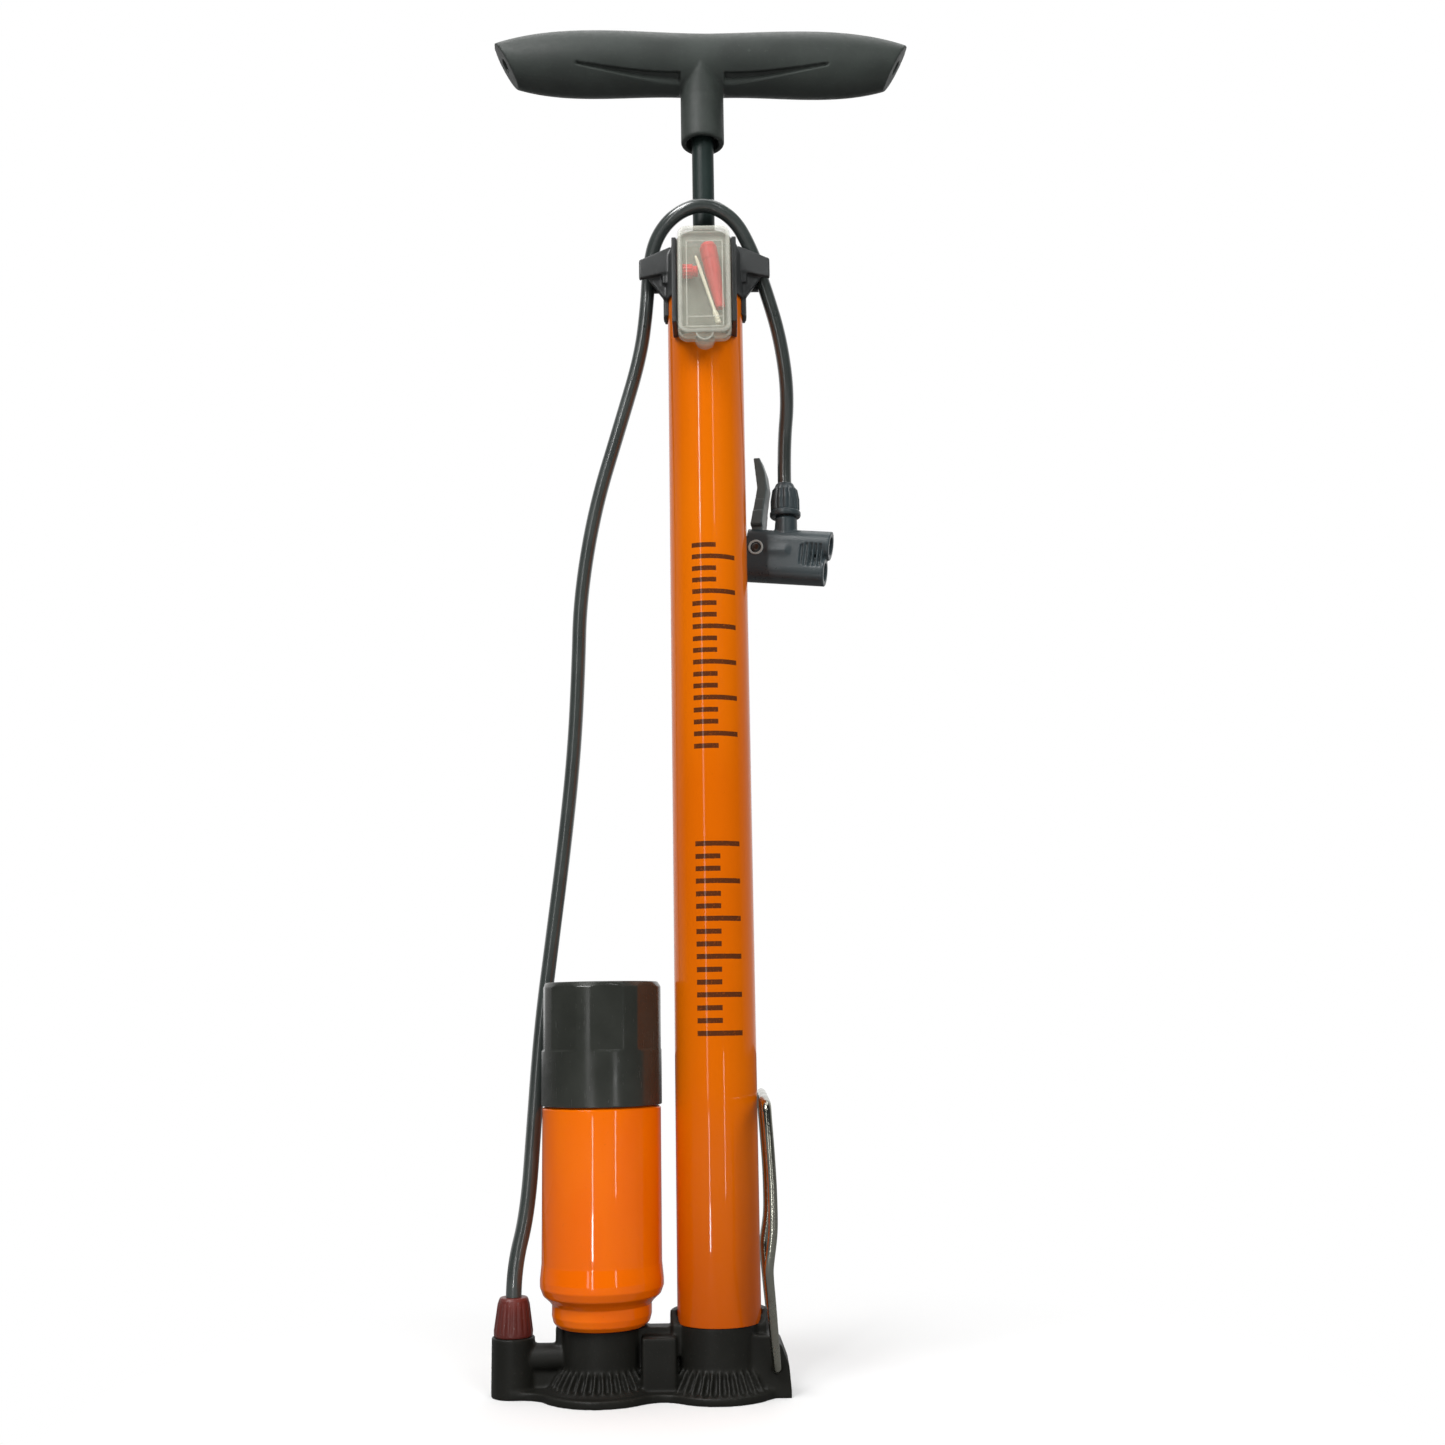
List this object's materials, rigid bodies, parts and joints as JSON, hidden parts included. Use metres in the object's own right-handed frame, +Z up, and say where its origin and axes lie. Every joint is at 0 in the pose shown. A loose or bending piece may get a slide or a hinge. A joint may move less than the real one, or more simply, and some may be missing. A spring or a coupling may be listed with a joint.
{
  "type": "floor bike pump",
  "caption": "Upright floor pump for bicycle tyres: steel barrel and T-handle plunger, side air tank, folding wire foot pedal, hose with lever valve head, clip-on accessory case.",
  "frame": {"origin": "on the barrel's axis at the floor, under the base", "axes": "+Z up along the barrel and the plunger's travel, -Y to the front, +X towards the foot pedal"},
  "size_m": [0.213, 0.0745, 0.6609],
  "materials": {
    "base_plastic": "fine moulded texture",
    "cap_plastic": "satin moulded",
    "handle_plastic": "satin moulded",
    "barrel_paint": "gloss",
    "tank_paint": "gloss",
    "tank_cap_plastic": "gloss moulded",
    "rod_black": "smooth",
    "piston_plastic": "smooth",
    "bush_nylon": "smooth",
    "seal_rubber": "matte",
    "zinc_steel": "zinc plated",
    "spring_steel": "bright",
    "brass": "machined",
    "hose_nut_red": "satin moulded",
    "hose_pvc": "gloss",
    "head_plastic": "satin moulded",
    "lever_plastic": "satin moulded",
    "case_clear": "frosted translucent",
    "accessory_red": "smooth"
  },
  "bodies": {
    "base": {"base_moulding": "base_plastic", "barrel_seal_ring": "seal_rubber", "check_valve_seat": "brass", "check_valve_spring": "spring_steel", "barrel_tube": "barrel_paint", "top_cap": "cap_plastic", "rod_bush": "bush_nylon", "tank_shell": "tank_paint", "tank_cap": "tank_cap_plastic", "tank_seal": "seal_rubber", "hose_fitting": "brass", "hose_nut": "hose_nut_red", "hose_tube": "hose_pvc", "head_nut": "head_plastic", "head_body": "head_plastic", "schrader_grommet": "seal_rubber", "presta_grommet": "seal_rubber", "lever_pin": "zinc_steel"},
    "valve_ball": {"check_valve_ball": "spring_steel"},
    "seal_ring": {"piston_ring": "seal_rubber"},
    "plunger": {"piston_rod": "rod_black", "piston_body": "piston_plastic", "piston_washer": "zinc_steel", "piston_nut": "zinc_steel", "rod_bumper": "seal_rubber", "handle_grip": "handle_plastic", "handle_nut": "zinc_steel", "handle_plug": "handle_plastic"},
    "pedal": {"pedal_bail": "zinc_steel"},
    "accessory_case": {"case_tray": "case_clear", "ball_needle": "spring_steel", "cone_nozzle": "accessory_red", "valve_adapter": "accessory_red"},
    "lid": {"case_lid": "case_clear"},
    "lever": {"head_lever": "lever_plastic"},
    "pusher": {"cam_pusher": "piston_plastic"}
  },
  "joints": [
    {"name": "plunger_slide", "type": "slide", "parent": "base", "child": "seal_ring", "axis": [0, 0, 1], "range_m": [0, 0.44]},
    {"name": "handle_spin", "type": "hinge", "parent": "seal_ring", "child": "plunger", "pos_m": [0, 0, 0.643], "axis": [0, 0, 1], "continuous": true},
    {"name": "pedal_fold", "type": "hinge", "parent": "base", "child": "pedal", "pos_m": [0.0246, 0, 0.0124], "axis": [0, 1, 0], "range_deg": [0, 90]},
    {"name": "case_slide", "type": "slide", "parent": "base", "child": "accessory_case", "axis": [0, 0, 1], "range_m": [0, 0.055]},
    {"name": "case_lid_hinge", "type": "hinge", "parent": "accessory_case", "child": "lid", "pos_m": [0, -0.02975, 0.5363], "axis": [-1, 0, 0], "range_deg": [0, 110]},
    {"name": "lever_flip", "type": "hinge", "parent": "base", "child": "lever", "pos_m": [0.02496, 0.02994, 0.39271], "axis": [-0.2079, -0.9781, 0], "range_deg": [0, 90]},
    {"name": "pusher_slide", "type": "slide", "parent": "base", "child": "pusher", "axis": [-0.9696, 0.2061, 0.1323], "range_m": [0, 0.0015]},
    {"name": "valve_lift", "type": "slide", "parent": "base", "child": "valve_ball", "axis": [0, 0, -1], "range_m": [0, 0.0015], "stiffness_N_per_m": 40, "springref_m": -0.003, "deforming": ["check_valve_spring"]}
  ],
  "couplings": [
    {"joint": "pusher_slide", "follows": "lever_flip", "m_per_rad": 0.0009549}
  ]
}
